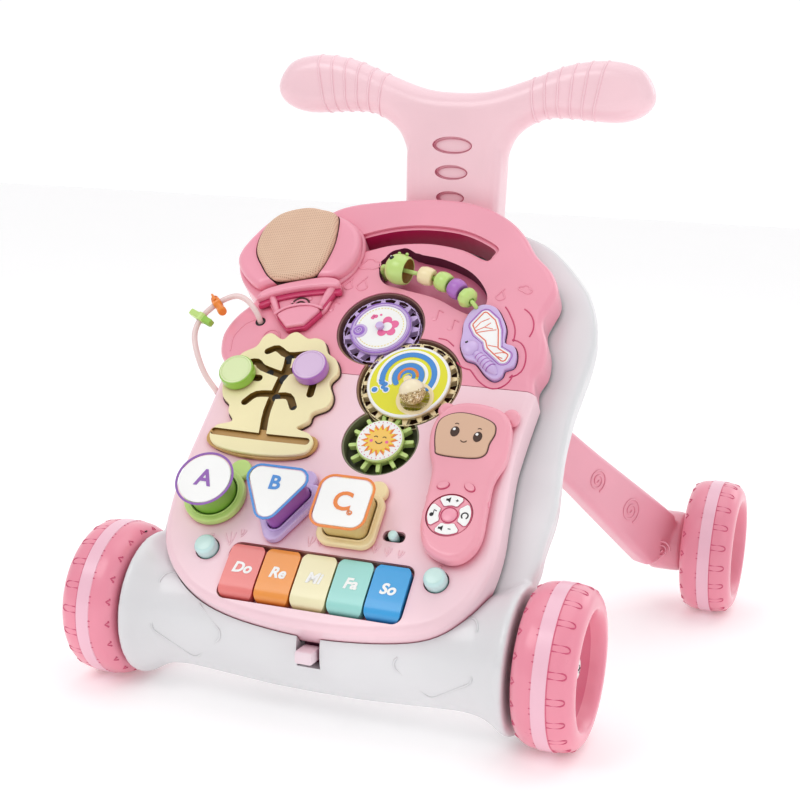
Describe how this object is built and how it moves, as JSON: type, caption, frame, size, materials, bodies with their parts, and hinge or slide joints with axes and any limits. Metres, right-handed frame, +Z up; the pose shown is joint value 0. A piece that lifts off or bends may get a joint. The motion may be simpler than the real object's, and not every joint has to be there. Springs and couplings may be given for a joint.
{
  "type": "baby walker",
  "caption": "Push-along baby walker: sloping play panel on a white wheeled body, plug-in push handle and folding rear legs.",
  "frame": {"origin": "centre of the bounding box's base, on the floor", "axes": "+Z up, the play panel faces -Y, the child walks at +Y, +X to the right seen from the panel's side"},
  "size_m": [0.488, 0.483, 0.4826],
  "materials": {
    "pink": "gloss",
    "pale_pink": "gloss",
    "white": "gloss",
    "maroon": "satin",
    "cream": "gloss",
    "tan": "satin",
    "green": "gloss",
    "lilac": "gloss",
    "mint": "gloss",
    "coral": "gloss",
    "orange": "gloss",
    "blue": "gloss",
    "grey": "satin",
    "steel": "satin",
    "board": "satin"
  },
  "bodies": {
    "body": {"body_shell": "white", "back_cover": "white", "front_axle": "steel"},
    "rear_frame": {"rear_leg_left": "pink", "rear_leg_right": "pink", "cross_rod": "steel"},
    "handle": {"handle": "pale_pink"},
    "handle_button": {"handle_button": "pink"},
    "release_latch": {"release_latch": "pale_pink"},
    "panel": {"panel_lower": "pale_pink", "panel_upper": "pink", "panel_back": "pale_pink", "battery_cover": "pale_pink", "well_tray": "maroon", "speaker": "grey", "circuit_board": "board", "balloon_frame": "pink", "speaker_grille": "tan", "tree_plate": "cream", "seat_A": "green", "seat_B": "lilac", "seat_C": "cream", "bead_wire": "pale_pink", "grub_rod": "green"},
    "gear_spiral": {"gear_spiral": "cream", "gear_ball": "tan"},
    "gear_flower": {"gear_flower": "lilac"},
    "gear_sun": {"gear_sun": "green"},
    "wheel_front_left": {"wheel_front_left": "pink", "hub_cap_front_left": "grey"},
    "wheel_front_right": {"wheel_front_right": "pink", "hub_cap_front_right": "grey"},
    "wheel_rear_left": {"wheel_rear_left": "pink", "hub_cap_rear_left": "grey"},
    "wheel_rear_right": {"wheel_rear_right": "pink", "hub_cap_rear_right": "grey"},
    "tree_knob_green": {"tree_knob_green": "green"},
    "tree_knob_lilac": {"tree_knob_lilac": "lilac"},
    "block_A": {"block_A": "green"},
    "block_B": {"block_B": "lilac"},
    "block_C": {"block_C": "cream"},
    "button_left": {"button_left": "mint"},
    "button_right": {"button_right": "mint"},
    "dragonfly_button": {"dragonfly_button": "lilac"},
    "power_switch": {"power_switch": "mint"},
    "phone_handset": {"phone_handset": "pink"},
    "phone_dial": {"phone_dial": "white"},
    "key_1": {"key_1": "coral"},
    "key_2": {"key_2": "orange"},
    "key_3": {"key_3": "cream"},
    "key_4": {"key_4": "mint"},
    "key_5": {"key_5": "blue"},
    "wire_bead_orange": {"wire_bead_orange": "orange"},
    "wire_bead_green": {"wire_bead_green": "green"},
    "grub_head": {"grub_head": "green"},
    "grub_bead_1": {"grub_bead_1": "cream"},
    "grub_bead_2": {"grub_bead_2": "green"},
    "grub_bead_3": {"grub_bead_3": "lilac"},
    "grub_tail": {"grub_tail": "green"}
  },
  "joints": [
    {"name": "wheel_front_left_spin", "type": "hinge", "parent": "body", "child": "wheel_front_left", "pos_m": [-0.1745, -0.1825, 0.059], "axis": [1, 0, 0], "continuous": true},
    {"name": "wheel_front_right_spin", "type": "hinge", "parent": "body", "child": "wheel_front_right", "pos_m": [0.1745, -0.1825, 0.059], "axis": [1, 0, 0], "continuous": true},
    {"name": "wheel_rear_left_spin", "type": "hinge", "parent": "rear_frame", "child": "wheel_rear_left", "pos_m": [-0.2215, 0.1825, 0.059], "axis": [1, 0, 0], "continuous": true},
    {"name": "wheel_rear_right_spin", "type": "hinge", "parent": "rear_frame", "child": "wheel_rear_right", "pos_m": [0.2215, 0.1825, 0.059], "axis": [1, 0, 0], "continuous": true},
    {"name": "rear_fold", "type": "hinge", "parent": "body", "child": "rear_frame", "pos_m": [0, -0.015, 0.2115], "axis": [1, 0, 0], "range_deg": [-70, 0]},
    {"name": "handle_pull", "type": "slide", "parent": "body", "child": "handle", "axis": [0, 0, 1], "range_m": [0, 0.062]},
    {"name": "handle_button_press", "type": "slide", "parent": "body", "child": "handle_button", "axis": [0, -1, 0], "range_m": [0, 0.0025], "stiffness_N_per_m": 500, "springref_m": -0.001},
    {"name": "latch_press", "type": "slide", "parent": "body", "child": "release_latch", "axis": [0, 0, 1], "range_m": [-0.004, 0], "stiffness_N_per_m": 500, "springref_m": 0.001},
    {"name": "panel_lift", "type": "slide", "parent": "body", "child": "panel", "axis": [0, -0.7254, 0.6884], "range_m": [0, 0.08]},
    {"name": "gear_spiral_spin", "type": "hinge", "parent": "panel", "child": "gear_spiral", "pos_m": [0.0226, -0.09158, 0.22859], "axis": [0, -0.7254, 0.6884], "continuous": true},
    {"name": "gear_flower_spin", "type": "hinge", "parent": "panel", "child": "gear_flower", "pos_m": [-0.0145, -0.05867, 0.26326], "axis": [0, -0.7254, 0.6884], "continuous": true},
    {"name": "gear_sun_spin", "type": "hinge", "parent": "panel", "child": "gear_sun", "pos_m": [0.0152, -0.12923, 0.18891], "axis": [0, -0.7254, 0.6884], "continuous": true},
    {"name": "tree_knob_green_slide", "type": "slide", "parent": "panel", "child": "tree_knob_green", "axis": [1, 0, 0], "range_m": [0, 0.015]},
    {"name": "tree_knob_lilac_slide", "type": "slide", "parent": "panel", "child": "tree_knob_lilac", "axis": [-1, 0, 0], "range_m": [0, 0.01]},
    {"name": "block_A_lift", "type": "slide", "parent": "panel", "child": "block_A", "axis": [0, -0.7254, 0.6884], "range_m": [0, 0.035]},
    {"name": "block_B_lift", "type": "slide", "parent": "panel", "child": "block_B", "axis": [0, -0.7254, 0.6884], "range_m": [0, 0.035]},
    {"name": "block_C_lift", "type": "slide", "parent": "panel", "child": "block_C", "axis": [0, -0.7254, 0.6884], "range_m": [0, 0.035]},
    {"name": "phone_lift", "type": "slide", "parent": "panel", "child": "phone_handset", "axis": [0, -0.7254, 0.6884], "range_m": [0, 0.03]},
    {"name": "dial_press", "type": "slide", "parent": "phone_handset", "child": "phone_dial", "axis": [0, -0.7254, 0.6884], "range_m": [-0.001, 0], "stiffness_N_per_m": 600, "springref_m": 0.001},
    {"name": "key_1_press", "type": "hinge", "parent": "panel", "child": "key_1", "pos_m": [-0.0554, -0.19713, 0.1159], "axis": [1, 0, 0], "range_deg": [0, 4], "stiffness_Nm_per_rad": 0.6, "springref_deg": -5.73},
    {"name": "key_2_press", "type": "hinge", "parent": "panel", "child": "key_2", "pos_m": [-0.0272, -0.19713, 0.1159], "axis": [1, 0, 0], "range_deg": [0, 4], "stiffness_Nm_per_rad": 0.6, "springref_deg": -5.73},
    {"name": "key_3_press", "type": "hinge", "parent": "panel", "child": "key_3", "pos_m": [0.001, -0.19713, 0.1159], "axis": [1, 0, 0], "range_deg": [0, 4], "stiffness_Nm_per_rad": 0.6, "springref_deg": -5.73},
    {"name": "key_4_press", "type": "hinge", "parent": "panel", "child": "key_4", "pos_m": [0.0292, -0.19713, 0.1159], "axis": [1, 0, 0], "range_deg": [0, 4], "stiffness_Nm_per_rad": 0.6, "springref_deg": -5.73},
    {"name": "key_5_press", "type": "hinge", "parent": "panel", "child": "key_5", "pos_m": [0.0574, -0.19713, 0.1159], "axis": [1, 0, 0], "range_deg": [0, 4], "stiffness_Nm_per_rad": 0.6, "springref_deg": -5.73},
    {"name": "button_left_press", "type": "slide", "parent": "panel", "child": "button_left", "axis": [0, -0.7254, 0.6884], "range_m": [-0.002, 0], "stiffness_N_per_m": 500, "springref_m": 0.001},
    {"name": "button_right_press", "type": "slide", "parent": "panel", "child": "button_right", "axis": [0, -0.7254, 0.6884], "range_m": [-0.002, 0], "stiffness_N_per_m": 500, "springref_m": 0.001},
    {"name": "dragonfly_press", "type": "slide", "parent": "panel", "child": "dragonfly_button", "axis": [0, -0.7254, 0.6884], "range_m": [-0.0015, 0], "stiffness_N_per_m": 600, "springref_m": 0.001},
    {"name": "power_switch_slide", "type": "slide", "parent": "panel", "child": "power_switch", "axis": [1, 0, 0], "range_m": [-0.0035, 0.0035]},
    {"name": "wire_bead_orange_spin", "type": "hinge", "parent": "panel", "child": "wire_bead_orange", "pos_m": [-0.154, -0.07083, 0.27659], "axis": [-0.7187, -0.4072, -0.5636], "continuous": true},
    {"name": "wire_bead_green_spin", "type": "hinge", "parent": "panel", "child": "wire_bead_green", "pos_m": [-0.164, -0.07902, 0.26506], "axis": [-0.3985, -0.5074, -0.764], "continuous": true},
    {"name": "grub_head_spin", "type": "hinge", "parent": "panel", "child": "grub_head", "pos_m": [-0.0135, -0.03, 0.31091], "axis": [0.9848, -0.1159, -0.1291], "continuous": true},
    {"name": "grub_bead_1_spin", "type": "hinge", "parent": "panel", "child": "grub_bead_1", "pos_m": [0.012, -0.03344, 0.30728], "axis": [0.9755, -0.1514, -0.1595], "continuous": true},
    {"name": "grub_bead_2_spin", "type": "hinge", "parent": "panel", "child": "grub_bead_2", "pos_m": [0.0275, -0.03654, 0.30402], "axis": [0.9349, -0.2443, -0.2574], "continuous": true},
    {"name": "grub_bead_3_spin", "type": "hinge", "parent": "panel", "child": "grub_bead_3", "pos_m": [0.04, -0.04067, 0.29967], "axis": [0.8553, -0.3567, -0.3759], "continuous": true},
    {"name": "grub_tail_spin", "type": "hinge", "parent": "panel", "child": "grub_tail", "pos_m": [0.0505, -0.04583, 0.29423], "axis": [0.7929, -0.4309, -0.4309], "continuous": true}
  ],
  "couplings": [
    {"joint": "gear_flower_spin", "follows": "gear_spiral_spin", "ratio": -1.2667},
    {"joint": "gear_sun_spin", "follows": "gear_spiral_spin", "ratio": -1.5833}
  ]
}
